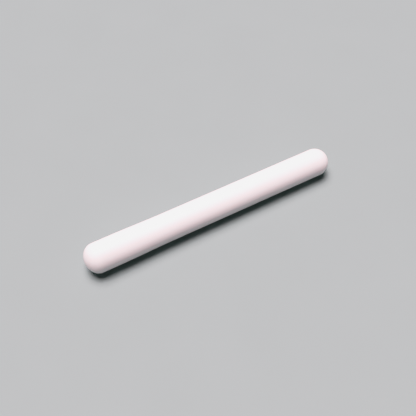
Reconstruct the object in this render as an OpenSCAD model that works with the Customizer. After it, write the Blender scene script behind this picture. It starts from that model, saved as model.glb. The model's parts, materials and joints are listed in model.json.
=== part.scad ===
// Magnetic stir bar: a permanent-magnet rod sealed in a one-piece white PTFE jacket.
// The bar lies along X with its origin in its middle, on its centreline, and +Z up.
// Its outline is drawn once, from the tip of the thick end at 0, and turned about the centreline.

/* [Bar] */
// Overall length, from tip to tip
bar_length = 76; // [60:1:120]
// Diameter of the straight barrel
barrel_d = 8; // [6:0.5:12]

/* [Thick end] */
// How much wider the thick end is than the barrel, on the diameter
end_swell = 0.4; // [0.2:0.1:1]
// Length of the thick end, from its tip to where it begins to narrow
thick_length = 7; // [7:0.5:12]
// Length of the smooth neck from the thick end down to the barrel
neck_length = 18; // [8:1:24]
// How far the shoulder's arc is centred off the centreline, which sets how tight it is
shoulder_inset = 0.9; // [0.8:0.1:2]
// How much shorter the blunt tip is than a half ball
tip_flattening = 0.6; // [0.1:0.1:0.7]

/* [Magnet] */
// Thickness of the jacket round the magnet, on the barrel
jacket_wall = 1.5; // [0.8:0.1:2]
// Thickness of the jacket between each tip and the magnet's end
end_wall = 5; // [4:0.5:8]
// Gap left all round the magnet in its pocket
magnet_gap = 0.05; // [0.02:0.01:0.2]
// Edge chamfer at both ends of the magnet
magnet_chamfer = 0.4; // [0.1:0.1:0.6]

/* [Hidden] */
$fn = 96;
// Overshoot of a cutting shape past the face that it cuts
over = 1;

barrel_r = barrel_d / 2;
thick_r = (barrel_d + end_swell) / 2;

// Thick end's dome: a shallow crown on the centreline that runs into a rounded shoulder
dome_height = thick_r - tip_flattening;
shoulder_r = thick_r - shoulder_inset;
crown_r = thick_r + pow(tip_flattening, 2) / (2 * (shoulder_inset - tip_flattening));
// Distance from the centreline at which the two arcs share a tangent
crown_edge = shoulder_inset * crown_r / (crown_r - shoulder_r);

// Neck: two equal arcs, one turning in and one turning back out
neck_end = thick_length + neck_length;
neck_drop = thick_r - barrel_r;
neck_arc_r = (pow(neck_length, 2) + pow(neck_drop, 2)) / (4 * neck_drop);
// Facets on a full circle of that size that leave a point about every millimetre
neck_fn = 4 * ceil(PI * neck_arc_r / 2);

pocket_r = barrel_r - jacket_wall;
pocket_length = bar_length - 2 * end_wall;
magnet_r = pocket_r - magnet_gap;
magnet_length = pocket_length - 2 * magnet_gap;

// Half of the blunt dome, with its tip at the origin
module thick_dome() {
    intersection() {
        translate([0, crown_r]) circle(crown_r);
        translate([0, -over]) square([crown_edge, dome_height + over]);
    }
    intersection() {
        translate([shoulder_inset, dome_height]) circle(shoulder_r);
        translate([crown_edge, -over]) square([thick_r, dome_height + over]);
    }
}

// Half of the neck, which leaves the thick end and reaches the barrel without a corner
module neck() {
    intersection() {
        translate([thick_r - neck_arc_r, 0]) circle(neck_arc_r, $fn = neck_fn);
        square([thick_r + over, neck_length / 2]);
    }
    difference() {
        translate([0, neck_length / 2]) square([thick_r, neck_length / 2]);
        translate([barrel_r + neck_arc_r, neck_length]) circle(neck_arc_r, $fn = neck_fn);
    }
}

// Half of the round far end
module round_dome() {
    intersection() {
        circle(barrel_r);
        square(barrel_r + over);
    }
}

// Half outline of the whole bar
module bar_outline() {
    thick_dome();
    translate([0, dome_height]) square([thick_r, thick_length - dome_height]);
    translate([0, thick_length]) neck();
    translate([0, neck_end]) square([barrel_r, bar_length - barrel_r - neck_end]);
    translate([0, bar_length - barrel_r]) round_dome();
}

// Half outline of a rod of radius r and length l with chamfered ends, centred on the origin
module rod_outline(r, l) {
    polygon([
        [0, -l / 2],
        [r - magnet_chamfer, -l / 2],
        [r, magnet_chamfer - l / 2],
        [r, l / 2 - magnet_chamfer],
        [r - magnet_chamfer, l / 2],
        [0, l / 2]
    ]);
}

// Turns a half outline about the centreline, which it lays along X
module turned() {
    rotate([0, 90, 0]) rotate_extrude() children();
}

module ptfe_jacket() {
    color("white") difference() {
        translate([-bar_length / 2, 0, 0]) turned() bar_outline();
        turned() rod_outline(pocket_r, pocket_length);
    }
}

module magnet_rod() {
    color("dimgray") turned() rod_outline(magnet_r, magnet_length);
}

ptfe_jacket();
magnet_rod();
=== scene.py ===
# %% [markdown]
# # A magnetic stir bar
# A stir bar is a rod magnet sealed inside a white PTFE jacket. It lies on the bottom of a
# flask, and a spinning magnet under the flask turns it. This one is 76 mm long. It has a
# straight barrel, a plain round end, and a slightly thicker blunt end that runs into the
# barrel over a long shallow neck.
#
# The CAD model already gives both solids and the frame that they live in: the bar lies along
# X, its middle is the origin and +Z is up. This lesson loads that frame, turns a finer jacket
# in it, gives the plastic and the hidden metal their finishes, and sets up a small studio.

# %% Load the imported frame
import json
import math

import bmesh
import bpy
from mathutils import Matrix, Vector


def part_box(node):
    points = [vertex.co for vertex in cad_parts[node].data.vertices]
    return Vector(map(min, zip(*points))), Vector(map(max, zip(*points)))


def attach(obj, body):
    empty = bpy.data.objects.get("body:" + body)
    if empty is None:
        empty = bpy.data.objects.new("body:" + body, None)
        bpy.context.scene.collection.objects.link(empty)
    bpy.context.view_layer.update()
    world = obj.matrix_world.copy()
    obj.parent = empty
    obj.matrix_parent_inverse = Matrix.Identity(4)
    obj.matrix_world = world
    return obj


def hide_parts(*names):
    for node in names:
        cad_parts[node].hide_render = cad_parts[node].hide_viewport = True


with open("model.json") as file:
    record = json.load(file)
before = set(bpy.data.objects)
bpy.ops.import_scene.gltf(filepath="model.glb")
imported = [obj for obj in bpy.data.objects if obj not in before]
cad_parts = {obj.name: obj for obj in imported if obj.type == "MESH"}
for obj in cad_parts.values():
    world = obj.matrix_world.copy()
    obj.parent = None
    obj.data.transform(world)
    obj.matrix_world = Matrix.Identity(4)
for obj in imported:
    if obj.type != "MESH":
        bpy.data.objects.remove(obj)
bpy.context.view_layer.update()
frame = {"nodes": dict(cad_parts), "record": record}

MM = 0.001


print("pieces in the frame:", ", ".join(sorted(frame["nodes"])))

# %% [markdown]
# ## Reading the bar's sizes
# The numbers could all be typed in again here, but then they could drift away from the CAD
# model. So each length comes from the frame where the frame has it: the jacket's box gives the
# two tips and the radius of the thick end, the magnet's box gives where the pocket ends, and
# the record's `barrel` mount gives the straight barrel's radius and where it starts and stops.
#
# What is left to name is the shape of the blunt end: how much shorter its tip is than a half
# ball, how far the shoulder's arc is set off the centreline, and how long the thick end is.
# The hidden pocket needs three more: the wall round it, the gap round the magnet, and the
# chamfer at its ends.

# %% Sizes of the outline
jacket_low, jacket_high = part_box("ptfe_jacket")
magnet_low, magnet_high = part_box("magnet_rod")
barrel = next(mount for mount in frame["record"]["mounts"] if mount["name"] == "barrel")
half_barrel = barrel["dims"]["length_mm"] * MM / 2

thick_tip = jacket_low.x
thick_r = jacket_high.z
barrel_r = barrel["dims"]["r_mm"] * MM
barrel_start = barrel["pos_m"][0] - half_barrel
barrel_stop = barrel["pos_m"][0] + half_barrel

tip_flattening = 0.6 * MM
shoulder_inset = 0.9 * MM
thick_length = 7.0 * MM
neck_start = thick_tip + thick_length

jacket_wall = 1.5 * MM
magnet_gap = 0.05 * MM
pocket_chamfer = 0.4 * MM

print(f"barrel {2 * barrel_r / MM:.2f} mm, thick end {2 * thick_r / MM:.2f} mm across")
print(f"neck from x = {neck_start / MM:.1f} mm to x = {barrel_start / MM:.1f} mm")

# %% [markdown]
# ## Drawing with arcs
# The jacket is moulded round, so it is fully described by one flat outline. That outline is
# made of arcs and straight runs, each of which starts where the last one stopped and in the
# same direction, so the skin has no crease.
#
# It could be a curve object, or a cylinder with its rings scaled by hand. A bmesh is exact
# and shorter: `spin` sweeps the last vertex round a centre and leaves a row of edges behind
# it, and `extrude_vert_indiv` followed by a move draws a straight step. The outline is drawn
# in the XZ plane with Y at zero.


# %% Two pens for the outline
def draw_arc(mesh, tip, centre_x, centre_z, angle, steps):
    """Sweeps the last vertex round a centre and returns the new last vertex."""
    swept = bmesh.ops.spin(
        mesh,
        geom=[tip],
        cent=(centre_x, 0, centre_z),
        axis=(0, 1, 0),
        angle=angle,
        steps=steps,
        use_merge=False,
    )
    return next(item for item in swept["geom_last"] if isinstance(item, bmesh.types.BMVert))


def draw_straight(mesh, tip, end_x, end_z, steps):
    """Runs the last vertex straight to a point and returns the new last vertex."""
    step = (Vector((end_x, 0, end_z)) - tip.co) / steps
    for _ in range(steps):
        tip = bmesh.ops.extrude_vert_indiv(mesh, verts=[tip])["verts"][0]
        bmesh.ops.translate(mesh, verts=[tip], vec=step)
    return tip


# %% [markdown]
# ## The blunt end, the neck and the round end
# The blunt end is a shallow crown that runs into a tighter shoulder. Both arcs share a
# tangent, which fixes the crown's radius once the flattening and the inset are known. The
# neck is two very large arcs, one turning in and one turning back out, so it narrows by only
# a fifth of a millimetre over eighteen. The far end is a plain half ball.
#
# Two points would do for a straight run, but then its faces would be slivers as long as the
# run. The points are kept close to a third of a millimetre apart all along, so that a face on
# the barrel is only about three times as long as it is wide.

# %% Work out the arcs
POINT_GAP = 0.34 * MM

shoulder_r = thick_r - shoulder_inset
shoulder_x = thick_tip + thick_r - tip_flattening
crown_r = thick_r + tip_flattening**2 / (2 * (shoulder_inset - tip_flattening))
crown_x = thick_tip + crown_r
crown_angle = math.atan2(shoulder_inset, crown_x - shoulder_x)
shoulder_angle = math.pi / 2 - crown_angle

neck_length = barrel_start - neck_start
neck_drop = thick_r - barrel_r
neck_r = (neck_length**2 + neck_drop**2) / (4 * neck_drop)
neck_angle = math.asin(neck_length / 2 / neck_r)
print(f"crown radius {crown_r / MM:.2f} mm, shoulder {shoulder_r / MM:.2f} mm")
print(f"neck arcs of radius {neck_r / MM:.1f} mm")


# %% Draw the outside outline
def steps_for(length):
    """How many steps of about one point gap fit into a length."""
    return max(2, round(length / POINT_GAP))


outside = bmesh.new()
tip = outside.verts.new((thick_tip, 0, 0))
for centre_x, centre_z, radius, angle in (
    (crown_x, 0, crown_r, crown_angle),
    (shoulder_x, shoulder_inset, shoulder_r, shoulder_angle),
):
    tip = draw_arc(outside, tip, centre_x, centre_z, angle, steps_for(radius * angle))
tip = draw_straight(outside, tip, neck_start, thick_r, steps_for(neck_start - shoulder_x))
for centre_x, centre_z, angle in (
    (neck_start, thick_r - neck_r, neck_angle),
    (barrel_start, barrel_r + neck_r, -neck_angle),
):
    tip = draw_arc(outside, tip, centre_x, centre_z, angle, steps_for(neck_length / 2))
tip = draw_straight(outside, tip, barrel_stop, barrel_r, steps_for(barrel_stop - barrel_start))
tip = draw_arc(outside, tip, barrel_stop, 0, math.pi / 2, steps_for(barrel_r * math.pi / 2))
tip_error = abs(tip.co.x - jacket_high.x)
print(f"outline of {len(outside.verts)} points, {tip_error / MM:.4f} mm off at the round tip")

# %% [markdown]
# ## Turning an outline into a skin
# One full spin about X turns the outline into a skin. A Screw modifier could do the same, but
# a bmesh leaves a plain mesh that can be measured straight away. A full spin needs
# `use_merge`, so that the last copy joins the first. The points on the centreline are copied
# at every step, so they are merged into one pole each. Spinning can leave a skin inside out,
# so its normals are worked out again once it is closed.

# %% Spin the outside
TURN_STEPS = 208
MERGE_DISTANCE = 0.0005 * MM


def turn(mesh):
    """Spins an outline once round the X axis and closes it into one skin."""
    bmesh.ops.spin(
        mesh,
        geom=mesh.verts[:] + mesh.edges[:],
        cent=(0, 0, 0),
        axis=(1, 0, 0),
        angle=2 * math.pi,
        steps=TURN_STEPS,
        use_merge=True,
    )
    bmesh.ops.remove_doubles(mesh, verts=mesh.verts[:], dist=MERGE_DISTANCE)
    bmesh.ops.recalc_face_normals(mesh, faces=mesh.faces[:])


turn(outside)
for face in outside.faces:
    face.smooth = True
open_edges = sum(not edge.is_manifold for edge in outside.edges)
print(f"outside skin: {len(outside.faces)} faces, {open_edges} open edges")
print(f"volume inside it: {outside.calc_volume() / MM**3:.1f} cubic mm")

# %% [markdown]
# ## The pocket round the magnet
# The jacket is hollow where the magnet sits, and a mesh that is only an outer skin would say
# that it is solid. A Boolean could cut the pocket out. Turning it as well, from its own small
# outline with a chamfer at both ends, needs nothing new and keeps its faces even. They have
# to point into the hollow, away from the plastic, so they are flipped after their normals are
# worked out, and only then is the pocket added to the rest. It has real edges, so its faces
# stay flat.

# %% Turn the pocket and flip it
END_STEPS = 2
WALL_STEPS = 24

pocket_r = barrel_r - jacket_wall
pocket_start = magnet_low.x - magnet_gap
pocket_stop = magnet_high.x + magnet_gap

pocket = bmesh.new()
tip = pocket.verts.new((pocket_start, 0, 0))
for end_x, end_z, steps in (
    (pocket_start, pocket_r - pocket_chamfer, END_STEPS),
    (pocket_start + pocket_chamfer, pocket_r, 1),
    (pocket_stop - pocket_chamfer, pocket_r, WALL_STEPS),
    (pocket_stop, pocket_r - pocket_chamfer, 1),
    (pocket_stop, 0, END_STEPS),
):
    tip = draw_straight(pocket, tip, end_x, end_z, steps)
turn(pocket)
print(f"pocket skin: {len(pocket.faces)} faces")
print(f"volume inside it: {pocket.calc_volume() / MM**3:.1f} cubic mm")
bmesh.ops.reverse_faces(pocket, faces=pocket.faces[:])

# %% [markdown]
# ## One piece of plastic
# The real jacket is one moulding, so both skins go into one piece. A bmesh can take in a mesh
# with `from_mesh`, so the pocket is written to a mesh, read into the outside's bmesh, and its
# own mesh is thrown away. The piece then stands for the CAD jacket and rides on the one body
# that there is.

# %% Join the skins into the jacket
pocket_mesh = bpy.data.meshes.new("pocket")
pocket.to_mesh(pocket_mesh)
pocket.free()
outside.from_mesh(pocket_mesh)
bpy.data.meshes.remove(pocket_mesh)

jacket_mesh = bpy.data.meshes.new("stir_bar_jacket")
outside.to_mesh(jacket_mesh)
print(f"jacket: {len(jacket_mesh.polygons)} faces")
print(f"plastic in it: {outside.calc_volume(signed=True) / MM**3:.1f} cubic mm")
outside.free()

jacket = bpy.data.objects.new("stir_bar_jacket", jacket_mesh)
bpy.context.scene.collection.objects.link(jacket)
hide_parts("ptfe_jacket")
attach(jacket, "root")

# %% [markdown]
# ## Writing finishes as sums
# A finish is a small graph of nodes. Wiring it link by link hides the idea, so one small
# class wraps an output socket and lets it be added and multiplied like a number: each sum
# adds a Math node. Everything else comes from one method, `Recipe.node`, which sets a node's
# own options first and then fills or links its sockets. The short methods after it name the
# steps that finishes share. A colour is mixed by a Mix node and never by a Math node, which
# would turn it grey.


# %% A socket that can be used in sums
class Wire:
    """One output socket of a recipe."""

    def __init__(self, recipe, socket):
        self.recipe = recipe
        self.socket = socket

    def sum(self, operation, other):
        """Adds a Math node for this socket and another socket or a number."""
        return self.recipe.wire("ShaderNodeMath", {"operation": operation}, {0: self, 1: other}, 0)

    def __add__(self, other):
        return self.sum("ADD", other)

    def __mul__(self, other):
        return self.sum("MULTIPLY", other)

    __radd__ = __add__
    __rmul__ = __mul__


# %% A tree of nodes
# A Mix node has sockets for numbers and vectors too, so its colour ones go by their place.
MIX_AMOUNT = 0
MIX_FIRST = 6
MIX_SECOND = 7
MIX_RESULT = 2


class Recipe:
    """The node tree of a finish or of the world, started empty."""

    def __init__(self, owner):
        owner.use_nodes = True
        self.tree = owner.node_tree
        self.tree.nodes.clear()

    def node(self, kind, settings, sockets):
        """Adds a node, sets its options, then fills or links its sockets."""
        node = self.tree.nodes.new(kind)
        for name, value in settings.items():
            if name == "stops":
                for element, (place, shade) in zip(node.color_ramp.elements, value):
                    element.position = place
                    element.color = (shade, shade, shade, 1)
            else:
                setattr(node, name, value)
        for name, value in sockets.items():
            if isinstance(value, Wire):
                self.tree.links.new(value.socket, node.inputs[name])
            else:
                node.inputs[name].default_value = value
        return node

    def wire(self, kind, settings, sockets, output):
        """Adds a node and wraps one of its outputs."""
        return Wire(self, self.node(kind, settings, sockets).outputs[output])

    def place(self):
        """Where a point is on the piece."""
        return self.wire("ShaderNodeTexCoord", {}, {}, "Object")

    def stretched(self, place, stretch):
        """The same place, with each axis stretched."""
        return self.wire("ShaderNodeMapping", {}, {"Vector": place, "Scale": stretch}, "Vector")

    def cloud(self, place, cells_per_metre, detail, roughness):
        """Soft noise between 0 and 1."""
        sockets = {
            "Vector": place,
            "Scale": cells_per_metre,
            "Detail": detail,
            "Roughness": roughness,
        }
        return self.wire("ShaderNodeTexNoise", {"noise_dimensions": "3D"}, sockets, "Fac")

    def blend(self, amount, first, second):
        """Mixes two colours."""
        sockets = {MIX_AMOUNT: amount, MIX_FIRST: first, MIX_SECOND: second}
        return self.wire("ShaderNodeMix", {"data_type": "RGBA"}, sockets, MIX_RESULT)

    def bump(self, height, depth, strength):
        """Turns a height into a tilt of the surface."""
        sockets = {"Strength": strength, "Distance": depth, "Height": height}
        return self.wire("ShaderNodeBump", {}, sockets, "Normal")

    def surface(self, settings, sockets):
        """Ends a finish in a Principled shader, which does for plastic, metal and paper."""
        shader = self.wire("ShaderNodeBsdfPrincipled", settings, sockets, 0)
        self.node("ShaderNodeOutputMaterial", {}, {"Surface": shader})
        print(f"{len(self.tree.nodes)} nodes")


# %% [markdown]
# ## The PTFE
# PTFE is a dense white plastic with a waxy feel. It has a low refractive index, so its sheen
# is weak and broad, and a little light sinks in and comes out nearby, which softens the edge
# between light and shade. Its colour is even, with only a breath of cloudiness from how the
# powder was pressed and baked. Close to, the skin has a very fine grain, slightly drawn out
# along the bar, that breaks up the sheen, and a slow swell that only tilts it.
#
# One flat white could stand for it, but close to it would have no grain at all. So noise at
# four scales drives the colour, the roughness and the bump, all very faintly. What is the
# same all over, such as the refractive index and the depth that light sinks to, is set on
# the shader itself.

# %% Patterns in the PTFE
ptfe = bpy.data.materials.new("satin_ptfe")
recipe = Recipe(ptfe)
place = recipe.place()

GRAIN_STRETCH = (0.6, 1.0, 1.0)
SWELL_STRETCH = (0.35, 1.0, 1.0)
DULL_STOPS = ((0.42, 0.0), (0.68, 1.0))

along_grain = recipe.stretched(place, GRAIN_STRETCH)
along_swell = recipe.stretched(place, SWELL_STRETCH)
cloudiness = recipe.cloud(place, cells_per_metre=140, detail=3.0, roughness=0.5)
patches = recipe.cloud(place, cells_per_metre=260, detail=4.0, roughness=0.6)
grain = recipe.cloud(along_grain, cells_per_metre=3600, detail=4.0, roughness=0.6)
swell = recipe.cloud(along_swell, cells_per_metre=420, detail=2.0, roughness=0.5)
dull_patches = recipe.wire("ShaderNodeValToRGB", {"stops": DULL_STOPS}, {"Fac": patches}, "Color")
print("cloudiness, patches, grain and swell")

# %% Make the PTFE finish
CLOUDY_WHITE = (0.915, 0.875, 0.88, 1)
CLEAR_WHITE = (0.945, 0.915, 0.915, 1)
GRAIN_WHITE = (0.90, 0.865, 0.865, 1)
GRAIN_SHARE = 0.35
GRAIN_DEPTH = 0.03 * MM
PTFE_ROUGHNESS = 0.34
PATCH_ROUGHNESS = 0.07
GRAIN_ROUGHNESS = 0.06

plain_white = recipe.blend(cloudiness, CLOUDY_WHITE, CLEAR_WHITE)
ptfe_roughness = PTFE_ROUGHNESS + PATCH_ROUGHNESS * dull_patches + GRAIN_ROUGHNESS * grain
recipe.surface(
    {"subsurface_method": "RANDOM_WALK"},
    {
        "Base Color": recipe.blend(grain * GRAIN_SHARE, plain_white, GRAIN_WHITE),
        "Roughness": ptfe_roughness,
        "IOR": 1.38,
        "Subsurface Weight": 0.2,
        "Subsurface Radius": (1.0, 0.9, 0.85),
        "Subsurface Scale": 0.8 * MM,
        "Normal": recipe.bump(grain * GRAIN_SHARE + swell, GRAIN_DEPTH, strength=1.0),
    },
)
jacket_mesh.materials.append(ptfe)

# %% [markdown]
# ## The magnet's metal
# The magnet is sealed in and never seen, but it is still a real piece, so it gets the finish
# that a bare cast magnet has: dark grey, matt, and slightly pitted. It could be turned again
# as the jacket was, but its CAD mesh has the right shape already, so it stays as it is and
# only its material changes.

# %% Make the magnet's finish
cast = bpy.data.materials.new("cast_magnet")
recipe = Recipe(cast)
place = recipe.place()

DARK_METAL = (0.30, 0.30, 0.31, 1)
LIGHT_METAL = (0.42, 0.42, 0.43, 1)
PIT_DEPTH = 0.03 * MM
PIT_STRENGTH = 0.6
BLOTCH_SHARE = 0.5
METAL_ROUGHNESS = 0.42
PIT_ROUGHNESS = 0.25

blotches = recipe.cloud(place, cells_per_metre=500, detail=4.0, roughness=0.6)
pits = recipe.cloud(place, cells_per_metre=4200, detail=3.0, roughness=0.6)
recipe.surface(
    {},
    {
        "Base Color": recipe.blend(blotches, DARK_METAL, LIGHT_METAL),
        "Metallic": 1.0,
        "Roughness": METAL_ROUGHNESS + PIT_ROUGHNESS * pits,
        "Normal": recipe.bump(pits + BLOTCH_SHARE * blotches, PIT_DEPTH, PIT_STRENGTH),
    },
)
magnet_slots = frame["nodes"]["magnet_rod"].material_slots
for material_slot in magnet_slots:
    material_slot.material = cast
print(f"cast metal on {len(magnet_slots)} slot")

# %% [markdown]
# ## The floor
# The bar rests on a plain pale sheet. Its thick end is wider than its barrel, so it doesn't
# lie quite flat: it touches under the thick end and again under the far end of the barrel.
# The bar could be tipped to suit a level floor, but the CAD frame keeps it level, so here the
# floor leans by that small angle instead.

# %% Lay the floor under the bar
FLOOR_REACH = 2.0

lean = math.asin((thick_r - barrel_r) / (barrel_stop - neck_start))
floor_height = -thick_r - neck_start * math.tan(lean)

sheet = bmesh.new()
bmesh.ops.create_grid(sheet, x_segments=2, y_segments=2, size=FLOOR_REACH)
tilt = Matrix.Rotation(-lean, 3, "Y")
bmesh.ops.rotate(sheet, verts=sheet.verts[:], cent=(0, 0, 0), matrix=tilt)
bmesh.ops.translate(sheet, verts=sheet.verts[:], vec=(0, 0, floor_height))
floor_mesh = bpy.data.meshes.new("floor")
sheet.to_mesh(floor_mesh)
sheet.free()

floor = bpy.data.objects.new("floor", floor_mesh)
bpy.context.scene.collection.objects.link(floor)
print(f"the floor leans by {math.degrees(lean):.3f} degrees")

# %% [markdown]
# ## The floor's finish
# The floor is matt and pale, and darker than the bar, so that the white bar stands out from
# it and only some light is thrown back into the shaded side. The lamp is slightly pink. A
# neutral sheet would turn pink under it, so the sheet is a little blue-green and comes out a
# plain pale grey. It has no sheen, which would bring the pink back in low views.

# %% Make the floor's finish
sheet_finish = bpy.data.materials.new("pale_sheet")
recipe = Recipe(sheet_finish)
place = recipe.place()

SHEET_DARK = (0.182, 0.260, 0.250, 1)
SHEET_LIGHT = (0.191, 0.272, 0.262, 1)

mottle = recipe.cloud(place, cells_per_metre=60, detail=3.0, roughness=0.5)
recipe.surface(
    {},
    {
        "Base Color": recipe.blend(mottle, SHEET_DARK, SHEET_LIGHT),
        "Roughness": 0.9,
        "Specular IOR Level": 0.0,
    },
)
floor_mesh.materials.append(sheet_finish)

# %% [markdown]
# ## The light
# One large soft light shines from above the bar and a little behind it. Its width as seen
# from the bar sets how soft the edge of the shade is, and its lean sets where on the barrel
# that edge falls. An area lamp near the bar would fade across the floor. A sun lamp with a
# wide angle doesn't, so it stands for a big studio panel far overhead.

# %% Hang the light
LIGHT_RADIUS = math.radians(20.0)
LIGHT_LEAN = math.radians(14)
LIGHT_STRENGTH = 9.8
LIGHT_TINT = (1.0, 0.70, 0.745)

light_data = bpy.data.lights.new("soft_panel", "SUN")
light_data.angle = 2 * LIGHT_RADIUS
light_data.energy = LIGHT_STRENGTH
light_data.color = LIGHT_TINT
light = bpy.data.objects.new("soft_panel", light_data)
toward_light = Vector((0, math.sin(LIGHT_LEAN), math.cos(LIGHT_LEAN)))
light.rotation_euler = toward_light.to_track_quat("Z", "Y").to_euler()
bpy.context.scene.collection.objects.link(light)
print(f"the light is {math.degrees(light_data.angle):.0f} degrees across")

# %% [markdown]
# ## The room
# The world adds a very weak even light, so that the shade isn't black. Seen directly, it
# would be a dark band past the edge of the floor. The Light Path node lifts it to a pale grey
# for looking at only, so that low views see a plain pale room and the shade keeps its depth.

# %% Build the room
EVEN_LIGHT = 0.05
PALE_ROOM = 0.60
ROOM_TINT = (1.0, 0.995, 1.0, 1)

world = bpy.data.worlds.new("studio")
bpy.context.scene.world = world
recipe = Recipe(world)
looked_at = recipe.wire("ShaderNodeLightPath", {}, {}, "Is Camera Ray")
strength = EVEN_LIGHT + (PALE_ROOM - EVEN_LIGHT) * looked_at
room = recipe.wire("ShaderNodeBackground", {}, {"Color": ROOM_TINT, "Strength": strength}, 0)
recipe.node("ShaderNodeOutputWorld", {}, {"Surface": room})
print(f"the room gives {EVEN_LIGHT} and looks like {PALE_ROOM}")

# %% [markdown]
# ## The camera
# The camera looks down on the bar from its thick end's side. It could be placed by three
# coordinates, but a turn round Z, a height above the floor and a distance from a point near
# the bar's middle are easier to picture and to change.

# %% Place the camera
CAMERA_TURN = math.radians(-28.27)
CAMERA_HEIGHT = math.radians(54.75)
CAMERA_DISTANCE = 178.0 * MM
AIM = Vector((-1.15, 0.30, 0.08)) * MM
SENSOR_WIDTH_MM = 36.0
LENS_MM = 55.38

camera_data = bpy.data.cameras.new("camera")
camera_data.sensor_width = SENSOR_WIDTH_MM
camera_data.lens = LENS_MM
camera_data.clip_start = 10 * MM
camera = bpy.data.objects.new("camera", camera_data)
back = Vector(
    (
        math.sin(CAMERA_TURN) * math.cos(CAMERA_HEIGHT),
        -math.cos(CAMERA_TURN) * math.cos(CAMERA_HEIGHT),
        math.sin(CAMERA_HEIGHT),
    )
)
camera.location = AIM + back * CAMERA_DISTANCE
camera.rotation_euler = (-back).to_track_quat("-Z", "Y").to_euler()
bpy.context.scene.collection.objects.link(camera)
bpy.context.scene.camera = camera
print("camera at", [round(place / MM, 1) for place in camera.location], "mm")

# %% [markdown]
# ## The picture's tones
# A white object under a strong lamp runs past what a screen can show, and the Standard view
# cuts it off in a hard flat patch. A filmic view could hold it back, but it would move the
# darker tones too. A curve on the Standard view does only what is needed: dark tones stay as
# they are, and tones up to twice the screen's white are eased in under it. It works on red,
# green and blue one by one, so the brightest parts also turn a little more neutral, as they
# do in a camera.

# %% Ease in the brightest tones
TONE_RANGE = 2.0
SHOULDER = ((0.3, 0.3), (0.45, 0.455), (0.9, 0.70), (1.3, 0.81), (1.65, 0.88))
WHITEST = 0.905

view = bpy.context.scene.view_settings
view.view_transform = "Standard"
view.use_curve_mapping = True
tones = view.curve_mapping
tones.white_level = (TONE_RANGE, TONE_RANGE, TONE_RANGE)
tones.extend = "HORIZONTAL"
all_colours = tones.curves[3]
all_colours.points[-1].location = (1.0, WHITEST)
for tone, shown in SHOULDER:
    all_colours.points.new(tone / TONE_RANGE, shown)
tones.update()
print(f"tone curve of {len(all_colours.points)} points")

# %% [markdown]
# ## Bring the scene up to date
# The finished bar has to fill the CAD model's box and not leave it, since looks may not change
# a size. The script ends by bringing the scene up to date.

# %% Bring the scene up to date
bpy.context.view_layer.update()
